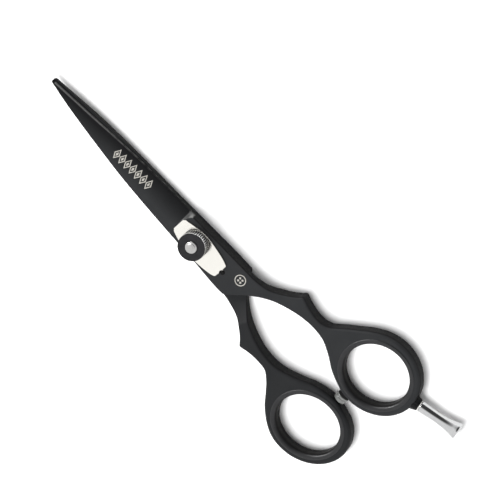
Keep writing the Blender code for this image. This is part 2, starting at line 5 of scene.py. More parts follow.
import bpy
import bmesh
import numpy as np
from mathutils import Matrix, Vector
from mathutils.geometry import delaunay_2d_cdt


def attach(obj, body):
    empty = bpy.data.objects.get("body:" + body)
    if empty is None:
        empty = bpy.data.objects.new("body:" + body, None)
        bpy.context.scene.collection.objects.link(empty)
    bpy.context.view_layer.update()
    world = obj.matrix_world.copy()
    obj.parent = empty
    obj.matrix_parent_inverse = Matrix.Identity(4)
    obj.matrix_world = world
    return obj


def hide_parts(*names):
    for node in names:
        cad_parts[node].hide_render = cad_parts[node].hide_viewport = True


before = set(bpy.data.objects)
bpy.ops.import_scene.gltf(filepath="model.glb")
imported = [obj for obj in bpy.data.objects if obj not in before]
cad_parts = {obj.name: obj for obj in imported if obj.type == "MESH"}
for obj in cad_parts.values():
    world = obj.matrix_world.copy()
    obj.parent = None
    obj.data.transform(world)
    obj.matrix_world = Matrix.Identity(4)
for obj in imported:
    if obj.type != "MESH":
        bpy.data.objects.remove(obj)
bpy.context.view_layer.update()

MM = 0.001

# ---------------------------------------------------------------- sizes, in millimetres
PARTING = 2.9
STACK = 5.8
RIDE_GAP = 0.05
FINGER_FLOOR = PARTING + RIDE_GAP
THUMB_ROOF = PARTING - RIDE_GAP
HANDLE_LOW = 0.2
HANDLE_MID = 0.5 * (HANDLE_LOW + STACK)
TIP_Y = 68.4
SHOULDER_Y = 7.45
SHOULDER_RUN = 0.9
SHOULDER_TOP = SHOULDER_Y + SHOULDER_RUN
SPINE_THICK = 2.85
TIP_THICK = 1.2
EDGE_THICK = 0.65
FLAT_SHARE = 0.7
EDGE_SHARE = 0.16
SHOULDER_DIP = 1.1
SHOULDER_BEND = 0.45
BLADE_END_Y = 66
HONED_THICK = 0.12
HONED_SLOPE = 4.0
HONED_ROWS = (0.16, 0.32, 0.5)
HONED_TAPER = 0.3
HONED_EVEN_Y = 36
HONED_RUN = 28
HANDLE_RIM = 0.75
RING_RIM = 1.15
BODY_RIM = 0.4
TIP_RIM = 0.25
RIM_START_Y = -19.0
RIM_END_Y = -30.0
RING_RIM_START_Y = -45.0
RING_RIM_RUN = 10.0
RAMP_HOLLOW = 1.4
FINGER_OVAL = ((13.28, -69.1), 13.33, 14.82, 7.4)
FINGER_HOLE = ((12.95, -69.2), 9.8, 10.95, 16.0)
THUMB_OVAL = ((-16.35, -66.15), 12.3, 14.65, 15.5)
THUMB_HOLE = ((-16.1, -65.85), 9.28, 10.95, 12.0)
HOLE_ANGLES = np.arange(0, 360, 2.5)
INSERT_WALL = 1.4
INSERT_GAP = 0.1
INSERT_HEIGHT = 6.0
BOLT_R = 1.6
BUSH_R = 2.5
BORE_GAP = 0.05
WASHER_R = 4.4
WASHER_SINK = 0.3
WASHER_ROOM = 0.15
WASHER_RIM = (WASHER_R + 0.14, WASHER_R + 0.17)
BOLT_HEAD_R = 3.5
BOLT_NECK_R = 2.2
BOLT_ROOM = 0.1
BOLT_CONE_LOW = 0.4
BOLT_CONE_HIGH = 1.45
BOLT_RIM = (BOLT_HEAD_R + 0.08, BOLT_HEAD_R + 0.12)
LEAF_LOW = STACK + 0.05
LEAF_TOP = LEAF_LOW + 0.5
LEAF_LEAN = -2.7
LEAF_SHIFT = 0.15
DIAL_R = 4.6
DIAL_LOW = 6.55
DIAL_TOP = 10.4
DIAL_CEILING = 7.2
DIAL_RIBS = 40
RIB_DEPTH = 0.3
PIN_PLACE = (-0.4, -12.5)
PIN_R = 0.75
PIN_FOOT = 4.4
PIN_ROOM = 0.05
PIN_RIM = (PIN_R + 0.03, PIN_R + 0.07)
SILENCER_Y = -66.9
SILENCER_BASE_X = -0.75
SILENCER_END_X = -3.2
REST_BASE = (15.1, -84.0)
REST_LEAN = 12.9
MARK_LIFT = 0.012
MARK_SINK = 0.02
CAMERA_TILT = 24.5
CAMERA_ROLL = 44
FRAME_WIDTH = 157.48
FRAME_SHIFT = (17.11, -2.12)


# ---------------------------------------------------------------- outlines
def smooth(points, step):
    """Points about one step apart on a smooth curve through the given points."""
    knots = np.array(points, float)
    span = np.hypot(*np.diff(knots, axis=0).T)
    run = np.concatenate(([0.0], np.cumsum(span)))
    slope = np.gradient(knots, run, axis=0, edge_order=2)
    place = np.linspace(0.0, run[-1], max(2, round(run[-1] / step)) + 1)
    i = np.clip(np.searchsorted(run, place, side="right") - 1, 0, len(span) - 1)
    width = span[i][:, None]
    t = (place[:, None] - run[i][:, None]) / width
    value = (2 * t**3 - 3 * t**2 + 1) * knots[i] + (3 * t**2 - 2 * t**3) * knots[i + 1]
    value += (t**3 - 2 * t**2 + t) * width * slope[i] + (t**3 - t**2) * width * slope[i + 1]
    return value


def oval(shape, angles, outward=0.0):
    """Points of an oval at the given parameter angles (degrees), moved outward if wanted."""
    (cx, cy), half_x, half_y, lean = shape
    angle = np.radians(angles)
    normal = np.stack((np.cos(angle) / half_x, np.sin(angle) / half_y), 1)
    normal /= np.linalg.norm(normal, axis=1)[:, None]
    flat = np.stack((half_x * np.cos(angle), half_y * np.sin(angle)), 1) + outward * normal
    c, s = math.cos(math.radians(lean)), math.sin(math.radians(lean))
    return flat @ np.array(((c, s), (-s, c))) + (cx, cy)


def chain(*runs):
    """One closed loop, counter-clockwise, from runs that start where the last one ended."""
    loop = np.concatenate([run[:-1] for run in runs])
    x, y = loop.T
    area = np.sum(x * np.roll(y, -1) - y * np.roll(x, -1))
    return loop if area > 0 else loop[::-1]


FINGER_SPINE = [(1.75, 66), (0.95, 62), (-0.58, 52), (-1.95, 41), (-2.75, 34), (-3.72, 21),
                (-4.17, 12), (-4.5, 5), (-5.07, -5), (-5.5, -10), (-5.72, -14), (-5.62, -17.3)]
FINGER_EDGE = [(2.78, 67), (3.75, 52), (4.5, 41), (5.05, 31), (5.36, 20), (5.5, 12),
               (5.54, SHOULDER_TOP)]
THUMB_SPINE = [(3.46, 67), (4.33, 57), (4.95, 48.5), (5.2, 41), (5.33, 31), (5.35, 12),
               (5.55, 0), (5.7, -12), (5.62, -17.6)]
THUMB_EDGE = [(1.85, 66), (1.08, 62), (-0.45, 52), (-1.8, 41), (-2.6, 34), (-3.57, 21),
              (-4.02, 12), (-4.2, SHOULDER_TOP)]
BLADE_STEP = 0.6
CURVE_STEP = 0.4
CORNER_STEP = 0.12


def finger_outline():
    """Plan of the finger half: blade, shank, pointed shoulder of the handle, and ring."""
    ring = oval(FINGER_OVAL, np.arange(20, -216, -18)).tolist()
    handle = [(12.6, -34.8), (13.45, -35.5), (13.72, -36.0), (13.5, -36.7), (12.95, -38.1),
              (12.3, -40.5), (11.85, -43), (11.95, -45.8), (13.0, -48.3), (14.6, -50),
              (16.6, -52), (19.4, -55), (22.1, -58)]
    inner = [(3.2, -58), (5.2, -55), (6.95, -52), (7.9, -50), (8.55, -47), (8.7, -44),
             (8.35, -40.5), (7.7, -37.5), (6.8, -34.5), (4.6, -29.3), (1.85, -25.3),
             (0.3, -23.5), (-2.1, -21.1), (-5.15, -18.15)]
    return chain(
        smooth([FINGER_SPINE[0], (1.98, 67.4), (2.2, 68.2), (2.5, TIP_Y), FINGER_EDGE[0]],
               CORNER_STEP),
        smooth(FINGER_EDGE, BLADE_STEP),
        np.array([FINGER_EDGE[-1], (5.6, SHOULDER_Y)]),
        smooth([(5.6, SHOULDER_Y), (5.66, 3), (5.71, -6), (5.72, -14), (5.73, -20)], BLADE_STEP),
        smooth([(5.73, -20), (6.15, -24), (6.85, -26.6), (9.1, -30.6), (10.7, -32.7), handle[0]],
               CURVE_STEP),
        smooth(handle[:6], CORNER_STEP * 2),
        smooth(handle[5:] + ring + inner, CURVE_STEP),
        smooth([inner[-1], (-5.45, -17.75), FINGER_SPINE[-1]], CORNER_STEP * 2),
        smooth(FINGER_SPINE[::-1], BLADE_STEP),
    )


def thumb_outline():
    """Plan of the thumb half: blade, shank, pointed shoulder of the handle, and ring."""
    ring = oval(THUMB_OVAL, np.arange(-30, -226, -18)).tolist()
    inner = [(5.15, -18.5), (2.2, -20.4), (-1.6, -23.4), (-4.8, -27.3), (-6.47, -30), (-7.9, -33),
             (-9.0, -36), (-9.8, -39), (-10.15, -42), (-10.1, -45), (-9.5, -48), (-8.4, -51),
             (-6.8, -54.5), (-5.1, -58), (-4.0, -61.5), (-3.4, -65), (-3.38, -67)]
    handle = [(-22.6, -52.2), (-19.0, -49.3), (-15.3, -46.0), (-13.75, -44), (-13.3, -41),
              (-13.35, -38), (-13.75, -35.2)]
    cusp = [(-13.75, -35.2), (-14.15, -33.7), (-14.2, -33.0), (-13.65, -32.4), (-12.6, -31.6)]
    return chain(
        smooth([THUMB_EDGE[0], (2.2, 67.4), (2.6, 68.2), (2.95, TIP_Y), (3.25, 68.1),
                THUMB_SPINE[0]], CORNER_STEP),
        smooth(THUMB_SPINE, BLADE_STEP),
        smooth([THUMB_SPINE[-1], (5.5, -18.1), inner[0]], CORNER_STEP),
        smooth(inner + ring + handle, CURVE_STEP),
        smooth(cusp, CORNER_STEP),
        smooth([cusp[-1], (-11.05, -30), (-9.05, -27.5), (-7.95, -25), (-7.3, -22),
                (-6.75, -18.3)], CURVE_STEP),
        smooth([(-6.75, -18.3), (-6.2, -14), (-5.5, -8), (-4.8, 0), (-4.25, SHOULDER_Y)],
               BLADE_STEP),
        np.array([(-4.25, SHOULDER_Y), THUMB_EDGE[-1]]),
        smooth(THUMB_EDGE[::-1], BLADE_STEP),
    )


# ---------------------------------------------------------------- heights
def edge_line(line, y):
    return np.interp(y, *np.array(line)[::-1, ::-1].T)


def blade_thickness(spine, edge, x, y):
    """Thickness of a blade: full at the spine, crowned, and honed thin at the cutting edge."""
    spine_x, edge_x = edge_line(spine, y), edge_line(edge, y)
    share = np.clip((x - edge_x) / (spine_x - edge_x), 0, 1)
    along = np.clip((y - SHOULDER_Y) / (TIP_Y - SHOULDER_Y), 0, 1)
    full = SPINE_THICK + (TIP_THICK - SPINE_THICK) * along
    crown = 1 - (1 - np.minimum(share / FLAT_SHARE, 1)) ** 2
    ground = EDGE_THICK + (full - EDGE_THICK) * crown
    ground = np.minimum(ground, HONED_THICK + HONED_SLOPE * np.abs(x - edge_x))
    near_edge = np.clip(1 - share / EDGE_SHARE, 0, 1)
    start = SHOULDER_Y - SHOULDER_DIP * near_edge
    body = np.clip((SHOULDER_TOP - y) / (SHOULDER_TOP - start), 0, 1)
    return ground + (SPINE_THICK - ground) * body


def past(line, x, y):
    """Distance of points past a line, given as two points, on its right-hand side."""
    (ax, ay), (bx, by) = line
    return ((x - ax) * (by - ay) - (y - ay) * (bx - ax)) / math.hypot(bx - ax, by - ay)


def ramp(start, end, x, y):
    """0 before the start line, 1 past the end line, and a hollow rise between them."""
    gone = np.maximum(past(start, x, y), 0)
    left = np.maximum(-past(end, x, y), 0)
    return (gone / np.maximum(gone + left, 1e-9)) ** RAMP_HOLLOW


FINGER_RAMP = (((-1.2, -25.0), (6.6, -18.6)), ((4.2, -29.6), (9.2, -28.4)))
THUMB_RAMP = (((-7.4, -17.4), (0.4, -24.8)), ((-9.8, -27.8), (-5.6, -29.7)))


def around(x, y, centre=(0.0, 0.0)):
    return np.hypot(x - centre[0], y - centre[1])


def finger_top(x, y):
    top = FINGER_FLOOR + blade_thickness(FINGER_SPINE, FINGER_EDGE, x, y)
    return np.where(around(x, y, PIN_PLACE) < PIN_R + PIN_ROOM, PIN_FOOT, top)


def finger_bottom(x, y):
    low = FINGER_FLOOR + (HANDLE_LOW - FINGER_FLOOR) * ramp(*FINGER_RAMP, x, y)
    return low + np.where(around(x, y) < WASHER_R + WASHER_ROOM, WASHER_SINK, 0)


def thumb_top(x, y):
    high = THUMB_ROOF + (STACK - THUMB_ROOF) * ramp(*THUMB_RAMP, x, y)
    return high - np.where(around(x, y) < WASHER_R + WASHER_ROOM, WASHER_SINK, 0)


def thumb_bottom(x, y):
    low = THUMB_ROOF - blade_thickness(THUMB_SPINE, THUMB_EDGE, x, y)
    low = low + HANDLE_LOW * ramp(*THUMB_RAMP, x, y)
    gone = around(x, y)
    rise = BOLT_CONE_HIGH - BOLT_CONE_LOW
    cone = BOLT_CONE_HIGH - (gone - BOLT_NECK_R - BOLT_ROOM) * rise / (BOLT_HEAD_R - BOLT_NECK_R)
    cone = np.clip(cone, BOLT_CONE_LOW, BOLT_CONE_HIGH)
    return np.where(gone < BOLT_HEAD_R + BOLT_ROOM, cone, low)


def handle_share(y):
    return np.clip((RIM_START_Y - y) / (RIM_START_Y - RIM_END_Y), 0, 1)


def handle_rim(y):
    """Rounding on the handles, wider around the rings."""
    return HANDLE_RIM + (RING_RIM - HANDLE_RIM) * np.clip((RING_RIM_START_Y - y) / RING_RIM_RUN, 0, 1)


def outer_rim(x, y):
    """Rounding on the outside faces, wide on the handles and narrow at the tip."""
    tip = np.clip((y - SHOULDER_Y) / (TIP_Y - SHOULDER_Y), 0, 1)
    body = BODY_RIM + (TIP_RIM - BODY_RIM) * tip
    return body + (handle_rim(y) - body) * handle_share(y)


def parting_rim(x, y):
    """Rounding on the faces that meet at the parting plane: none until the handles."""
    return handle_rim(y) * handle_share(y + 3.0)


# ---------------------------------------------------------------- plate building
def nearest(points, loop, chunk=400):
    """Distance to a closed loop, with the place of the nearest point on the loop."""
    side = np.roll(loop, -1, 0) - loop
    length2 = (side**2).sum(1)
    gaps, places = [], []
    for first in range(0, len(points), chunk):
        offset = points[first:first + chunk, None] - loop[None]
        t = np.clip((offset * side).sum(2) / length2, 0, 1)
        gap = np.linalg.norm(offset - t[..., None] * side, axis=2)
        best = gap.argmin(1)
        row = np.arange(len(best))
        gaps.append(gap[row, best])
        places.append(loop[best] + t[row, best][:, None] * side[best])
    return np.concatenate(gaps), np.concatenate(places)


def inside(points, loop, chunk=2000):
    """True for the points that lie within a closed loop."""
    ax, ay = loop.T[:, None]
    bx, by = np.roll(loop, -1, 0).T[:, None]
    found = []
    for first in range(0, len(points), chunk):
        x, y = points[first:first + chunk].T[:, :, None]
        crossing = (ay > y) != (by > y)
        edge_x = ax + (y - ay) * (bx - ax) / np.where(by == ay, 1, by - ay)
        found.append((np.sum(crossing & (x < edge_x), axis=1) % 2) == 1)
    return np.concatenate(found)


def rounding(gap, radius):
    """Height lost at a distance from a rim that has the given rounding radius."""
    inset = np.clip(radius - gap, 0, radius)
    return radius - np.sqrt(radius**2 - inset**2)


def ring_of(centre, radius, count):
    angle = np.arange(count) * 2 * math.pi / count
    return np.stack((centre[0] + radius * np.cos(angle), centre[1] + radius * np.sin(angle)), 1)


def grid_points(loop, step):
    """A staggered grid of points over the box of a loop."""
    low, high = loop.min(0), loop.max(0)
    rows = np.arange(low[1], high[1], step * 0.866)
    points = [np.stack((np.arange(low[0] + (i % 2) * step / 2, high[0], step),
                        np.full(len(np.arange(low[0] + (i % 2) * step / 2, high[0], step)), y)), 1)
              for i, y in enumerate(rows)]
    return np.concatenate(points)


def plate(name, loop, holes, faces, rims, inner, levels, step, marks=None):
    """A closed solid over a plan outline, between two curved faces with rounded rims."""
    radius = np.maximum(rims[0](*loop.T), rims[1](*loop.T))
    tangent = np.roll(loop, -1, 0) - np.roll(loop, 1, 0)
    inward = np.stack((-tangent[:, 1], tangent[:, 0]), 1)
    inward /= np.linalg.norm(tangent, axis=1)[:, None]
    field = []
    for level in range(1, levels + 1):
        inset = radius * (1 - math.cos(math.radians(90 * level / levels)))
        point = loop + inward * inset[:, None]
        gap, _ = nearest(point, loop)
        field.append(point[(gap > 0.97 * inset) & (inset > 0.03)])
    special = np.concatenate([np.array(p, float).reshape(-1, 2) for p in inner])
    gap = nearest(special, loop)[0] if len(special) else None
    special = special[gap > 0.08] if len(special) else special
    grid = grid_points(loop, step)
    grid = grid[inside(grid, loop)]
    gap, place = nearest(grid, loop)
    limit = np.maximum(rims[0](*place.T), rims[1](*place.T)) + 0.3 * step
    grid = grid[gap > limit]
    if len(special):
        near_special = np.min(np.linalg.norm(grid[:, None] - special[None], axis=2), axis=1)
        grid = grid[near_special > 0.35 * step]
    field = np.concatenate(field + [special, grid])
    clear = inside(field, loop)
    for hole in holes:
        clear &= ~inside(field, hole) & (nearest(field, hole)[0] > 0.06)
    points = [*loop, *np.concatenate(holes), *field[clear]]
    rows = []
    first = 0
    for closed in (loop, *holes):
        count = len(closed)
        rows += [(first + i, first + (i + 1) % count) for i in range(count)]
        first += count
    plan, _, triangles, *_ = delaunay_2d_cdt([Vector(p) for p in points], rows, [], 0, 1e-5)
    plan = np.array([tuple(p) for p in plan])
    triangles = np.array(triangles)
    middle = plan[triangles].mean(1)
    kept = inside(middle, loop)
    for hole in holes:
        kept &= ~inside(middle, hole)
    triangles = triangles[kept]

    gap, rim_place = nearest(plan, loop)
    high = faces[0](*plan.T) - rounding(gap, rims[0](*rim_place.T))
    low = faces[1](*plan.T) + rounding(gap, rims[1](*rim_place.T))
    used, triangles = np.unique(triangles, return_inverse=True)
    triangles = triangles.reshape(-1, 3)
    edges = {(t[i], t[(i + 1) % 3]) for t in triangles.tolist() for i in range(3)}
    outer = [(a, b) for a, b in sorted(edges) if (b, a) not in edges]

    count = len(used)
    top = np.column_stack((plan[used], high[used])) * MM
    bottom = np.column_stack((plan[used], low[used])) * MM
    faces_out = [tuple(t) for t in triangles.tolist()]
    faces_out += [(c + count, b + count, a + count) for a, b, c in triangles.tolist()]
    faces_out += [(b, a, a + count, b + count) for a, b in outer]
    data = bpy.data.meshes.new(name)
    data.from_pydata(np.concatenate((top, bottom)).tolist(), [], faces_out)
    values = {"rim_gap": np.tile(gap[used], 2)}
    if marks is not None:
        values.update(marks(plan[used]))
    for key, value in values.items():
        layer = data.attributes.new(key, "FLOAT", "POINT")
        layer.data.foreach_set("value", np.asarray(value, np.float32))
    return show(name, data)


def show(name, data, sharp=32):
    """Link a mesh as a smoothly shaded object."""
    mesh = bmesh.new()
    mesh.from_mesh(data)
    bmesh.ops.recalc_face_normals(mesh, faces=mesh.faces)
    mesh.to_mesh(data)
    mesh.free()
    data.shade_smooth()
    data.set_sharp_from_angle(angle=math.radians(sharp))
    piece = bpy.data.objects.new(name, data)
    bpy.context.scene.collection.objects.link(piece)
    return piece


def skin(name, rows, closed=False, sharp=32, tones=None):
    """A skin through rings of points (mm); the ends are capped, or joined as a tube."""
    rows = np.asarray(rows, float)
    count, around_count = rows.shape[:2]
    faces, material = [], []
    last = count if closed else count - 1
    for i in range(last):
        j = (i + 1) % count
        for a in range(around_count):
            b = (a + 1) % around_count
            faces.append((i * around_count + a, i * around_count + b,
                          j * around_count + b, j * around_count + a))
            material.append(tones[i] if tones else 0)
    if not closed:
        faces.append(tuple(range(around_count))[::-1])
        faces.append(tuple((count - 1) * around_count + a for a in range(around_count)))
        material += [0, tones[-1] if tones else 0]
    data = bpy.data.meshes.new(name)
    data.from_pydata((rows.reshape(-1, 3) * MM).tolist(), [], faces)
    data.polygons.foreach_set("material_index", material)
    return show(name, data, sharp)


def note(piece, key, values):
    """Store one number on each point of a piece, for its material."""
    layer = piece.data.attributes.new(key, "FLOAT", "POINT")
    layer.data.foreach_set("value", np.asarray(values, np.float32).ravel())


def turned(profile, count, turn=0.0):
    """Rings of a turned piece from (radius, height) pairs."""
    angle = np.arange(count) * 2 * math.pi / count + turn
    profile = np.asarray(profile, float)
    ring = np.stack((np.cos(angle), np.sin(angle)), 1)
    rows = profile[:, 0, None, None] * ring[None]
    height = np.broadcast_to(profile[:, 1, None, None], (*rows.shape[:2], 1))
    return np.concatenate((rows, height), 2)


def stand(piece, place, direction):
    """Stand a turned piece at a place, its own z along a level direction and its x straight up."""
    out = Vector(direction)
    up = Vector((0, 0, 1))
    turn = Matrix((up, out.cross(up), out)).transposed().to_4x4()
    piece.matrix_world = Matrix.Translation(Vector(place) * MM) @ turn


def rounded(profile, radius=0.08, steps=4):
    """The profile with each inner corner rounded."""
    points = np.asarray(profile, float)
    out = [points[0]]
    for before, corner, after in zip(points, points[1:], points[2:]):
        into, away = before - corner, after - corner
        a, b = np.linalg.norm(into), np.linalg.norm(away)
        r = min(radius, 0.45 * a, 0.45 * b)
        start, stop = corner + into / a * r, corner + away / b * r
        for t in np.linspace(0, 1, steps):
            out.append((1 - t) ** 2 * start + 2 * t * (1 - t) * corner + t**2 * stop)
    return np.array(out + [points[-1]])


# ---------------------------------------------------------------- materials
class Shader:
    """A Principled material whose look is built from noise nodes in object space."""

    def __init__(self, name, colour, roughness, metallic, **values):
        self.material = bpy.data.materials.new(name)
        self.material.use_nodes = True
        self.tree = self.material.node_tree
        self.shader = self.tree.nodes["Principled BSDF"]
        self.shader.inputs["Base Color"].default_value = (*colour, 1)
        self.shader.inputs["Roughness"].default_value = roughness
        self.shader.inputs["Metallic"].default_value = metallic
        for key, value in values.items():
            self.shader.inputs[key.replace("_", " ")].default_value = value
        self.place = self.node("ShaderNodeTexCoord").outputs["Object"]

    def node(self, kind, **settings):
        made = self.tree.nodes.new(kind)
        for key, value in settings.items():
            setattr(made, key, value)
        return made

    def link(self, source, target):
        self.tree.links.new(source, target)

    def noise(self, size, stretch=(1, 1, 1), detail=3, rough=0.55, seed=(0, 0, 0)):
        """Noise with features of about the given size (mm), longer where stretch is above 1."""
        mapping = self.node("ShaderNodeMapping")
        scale = 1 / (size * MM)
        mapping.inputs["Scale"].default_value = [scale / s for s in stretch]
        mapping.inputs["Location"].default_value = seed
        self.link(self.place, mapping.inputs["Vector"])
        made = self.node("ShaderNodeTexNoise")
        made.inputs["Scale"].default_value = 1.0
        made.inputs["Detail"].default_value = detail
        made.inputs["Roughness"].default_value = rough
        self.link(mapping.outputs["Vector"], made.inputs["Vector"])
        return made.outputs["Fac"]

    def span(self, value, low, high, out_low, out_high, smoothly=False):
        made = self.node("ShaderNodeMapRange")
        if smoothly:
            made.interpolation_type = "SMOOTHSTEP"
        for key, number in (("From Min", low), ("From Max", high), ("To Min", out_low),
                            ("To Max", out_high)):
            made.inputs[key].default_value = number
        self.link(value, made.inputs["Value"])
        return made.outputs["Result"]

    def math(self, kind, a, b):
        made = self.node("ShaderNodeMath", operation=kind)
        for socket, value in zip(made.inputs, (a, b)):
            if isinstance(value, (int, float)):
                socket.default_value = value
            else:
                self.link(value, socket)
        return made.outputs["Value"]

    def mix(self, factor, a, b):
        made = self.node("ShaderNodeMix", data_type="RGBA")
        for key, value in (("A", a), ("B", b)):
            socket = [s for s in made.inputs if s.name == key and s.type == "RGBA"][0]
            if isinstance(value, tuple):
                socket.default_value = (*value, 1)
            else:
                self.link(value, socket)
        self.link(factor, made.inputs["Factor"])
        return [s for s in made.outputs if s.type == "RGBA"][0]

    def attribute(self, name):
        return self.node("ShaderNodeAttribute", attribute_name=name).outputs["Fac"]

    def set(self, key, value):
        self.link(value, self.shader.inputs[key])

    def bump(self, height, depth):
        """Relief with a depth in millimetres for a height signal from 0 to 1."""
        made = self.node("ShaderNodeBump")
        made.inputs["Strength"].default_value = 1.0
        made.inputs["Distance"].default_value = depth * MM
        self.link(height, made.inputs["Height"])
        self.link(made.outputs["Normal"], self.shader.inputs["Normal"])


def coating(name, ground=False):
    """Satin black coating on steel, worn a little at its rims.

    A ground blade is bare at its edge, and painted shade darkens its coating towards that edge.
    """
    look = Shader(name, (0.012, 0.0125, 0.0135), 0.5, 0.0, Specular_IOR_Level=0.18)
    cloud = look.noise(6.0, detail=4, rough=0.6)
    grain = look.noise(0.09, detail=2)
    colour = look.mix(look.span(cloud, 0.3, 0.7, 0, 1), (0.0110, 0.0118, 0.0130),
                      (0.0150, 0.0158, 0.0168))
    rough = look.math("ADD", look.span(cloud, 0.25, 0.75, 0.50, 0.58),
                      look.span(grain, 0.2, 0.8, -0.04, 0.04))
    # painted shade: near the rim (rim_gap under 0.35 mm) the side walls and rim edges are painted
    # darker and less glossy; pieces without rim_gap get it all over
    side = look.span(look.attribute("rim_gap"), 0.0, 0.35, 1, 0, smoothly=True)
    if ground:
        # painted shade: the coating is painted darker towards the cutting edge
        painted_edge_shade = look.span(look.attribute("edge_gap"), 0.6, 7.0, 0.8, 0)
        side = look.math("MAXIMUM", side, painted_edge_shade)
    colour = look.mix(side, colour, (0.0045, 0.0045, 0.0048))
    look.set("Specular IOR Level", look.span(side, 0, 1, 0.18, 0.05))
    chips = look.noise(0.5, detail=5, rough=0.7, seed=(3, 1, 7))
    rim = look.span(look.attribute("rim_gap"), 0.0, 0.10, 1, 0)
    wear = look.math("MULTIPLY", rim, look.span(chips, 0.45, 0.75, 0, 0.25))
    colour = look.mix(wear, colour, (0.07, 0.07, 0.07))
    metallic = wear
    if ground:
        lines = look.noise(0.05, stretch=(12, 1, 1), detail=3, seed=(1, 5, 2))
        steel = look.mix(lines, (0.13, 0.13, 0.13), (0.24, 0.24, 0.235))
        bare = look.math("MAXIMUM", look.span(look.attribute("edge_gap"), 0.06, 0.28, 0.75, 0),
                         look.attribute("shoulder"))
        colour = look.mix(bare, colour, steel)
        rough = look.math("SUBTRACT", rough, look.math("MULTIPLY", bare, 0.12))
        metallic = look.math("MAXIMUM", wear, bare)
    look.set("Base Color", colour)
    look.set("Roughness", rough)
    look.set("Metallic", metallic)
    look.bump(look.math("ADD", look.math("MULTIPLY", grain, 0.6),
                        look.math("MULTIPLY", look.noise(0.45, detail=2), 0.4)), 0.004)
    return look.material


def metal(name, dark, light, rough, grain, stretch, depth, **values):
    """Bare or polished metal with fine lines that run along the long side of stretch."""
    look = Shader(name, light, rough[0], 1.0, **values)
    lines = look.noise(grain, stretch=stretch, detail=4, rough=0.6)
    cloud = look.noise(grain * 40, detail=3, seed=(5, 2, 1))
    blend = look.math("ADD", look.math("MULTIPLY", lines, 0.6), look.math("MULTIPLY", cloud, 0.4))
    look.set("Base Color", look.mix(look.span(blend, 0.3, 0.7, 0, 1), dark, light))
    look.set("Roughness", look.span(blend, 0.3, 0.7, *rough))
    look.bump(lines, depth)
    return look.material


def moulded(name, dark, light, rough, size, depth, **values):
    """Moulded plastic or rubber with a fine even texture."""
    look = Shader(name, light, rough[0], 0.0, **values)
    cloud = look.noise(size * 25, detail=3)
    grain = look.noise(size, detail=2, seed=(2, 2, 9))
    look.set("Base Color", look.mix(look.span(cloud, 0.3, 0.7, 0, 1), dark, light))
    look.set("Roughness", look.span(look.math("ADD", look.math("MULTIPLY", cloud, 0.5),
                                              look.math("MULTIPLY", grain, 0.5)),
                                    0.3, 0.7, *rough))
    look.bump(grain, depth)
    return look.material


def insert_rubber(name):
    """Soft black plastic, glossier on its lips than on its inner wall, which painted shade darkens.
    """
    look = Shader(name, (0.008, 0.008, 0.009), 0.35, 0.0, Specular_IOR_Level=0.2)
    cloud = look.noise(3.0, detail=3)
    grain = look.noise(0.12, detail=2, seed=(2, 2, 9))
    lip = look.attribute("lip")
    colour = look.mix(look.span(cloud, 0.3, 0.7, 0, 1), (0.0075, 0.0077, 0.0085),
                      (0.0115, 0.0118, 0.0130))
    # painted shade: where lip is 0, on the inner wall, the colour is painted darker
    look.set("Base Color", look.mix(lip, (0.0045, 0.0042, 0.0040), colour))
    look.set("Specular IOR Level", look.span(lip, 0, 1, 0.05, 0.36))
    look.set("Roughness", look.math("ADD", look.span(lip, 0, 1, 0.5, 0.30),
                                    look.span(grain, 0.3, 0.7, -0.03, 0.05)))
    look.bump(grain, 0.002)
    return look.material


def knurled(name):
    """Satin metal, with painted shade down in the grooves of the knurl and low on the dial."""
    look = Shader(name, (0.8, 0.8, 0.79), 0.4, 1.0)
    cloud = look.noise(0.5, detail=4)
    clean = look.mix(look.span(cloud, 0.3, 0.7, 0, 1), (0.80, 0.80, 0.79), (0.93, 0.93, 0.92))
    # painted shade: darker where the groove attribute is high
    depth = look.span(look.attribute("groove"), 0.15, 0.7, 0, 1)
    look.set("Base Color", look.mix(depth, clean, (0.02, 0.019, 0.019)))
    look.set("Roughness", look.span(cloud, 0.3, 0.7, 0.36, 0.5))
    look.bump(look.noise(0.06, detail=3), 0.001)
    return look.material


coat = coating("coat")
blade_coat = coating("blade_coat", ground=True)
leaf_steel = metal("leaf_steel", (0.73, 0.715, 0.67), (0.79, 0.775, 0.73), (0.16, 0.24), 0.04,
                   (1, 60, 1), 0.0006)
chrome = metal("chrome", (0.44, 0.445, 0.45), (0.53, 0.53, 0.53), (0.07, 0.12), 0.05,
               (1, 1, 1), 0.0002)
dome_steel = metal("dome_steel", (0.36, 0.36, 0.35), (0.50, 0.495, 0.485), (0.28, 0.36), 0.05,
                   (1, 1, 1), 0.001)
turned_steel = metal("turned_steel", (0.42, 0.42, 0.41), (0.6, 0.6, 0.59), (0.22, 0.34), 0.05,
                     (1, 1, 1), 0.0015)
dark_steel = metal("dark_steel", (0.03, 0.03, 0.032), (0.06, 0.06, 0.062), (0.2, 0.3), 0.05,
                   (1, 1, 1), 0.0015)
brass = metal("brass", (0.62, 0.44, 0.17), (0.78, 0.6, 0.28), (0.22, 0.34), 0.05, (1, 1, 1), 0.0015)
dial_coat = moulded("dial_coat", (0.009, 0.009, 0.010), (0.014, 0.014, 0.015), (0.34, 0.44), 0.06,
                    0.002, Specular_IOR_Level=0.13)
pin_black = moulded("pin_black", (0.003, 0.003, 0.003), (0.005, 0.005, 0.005), (0.16, 0.24), 0.06,
                    0.001, Specular_IOR_Level=0.1)
soft_black = insert_rubber("soft_black")
nylon = moulded("nylon", (0.70, 0.69, 0.65), (0.80, 0.79, 0.75), (0.42, 0.55), 0.1, 0.002)
bumper_plastic = moulded("bumper_plastic", (0.075, 0.078, 0.076), (0.13, 0.132, 0.128), (0.12, 0.2),
                         0.15, 0.002, Specular_IOR_Level=1.0)
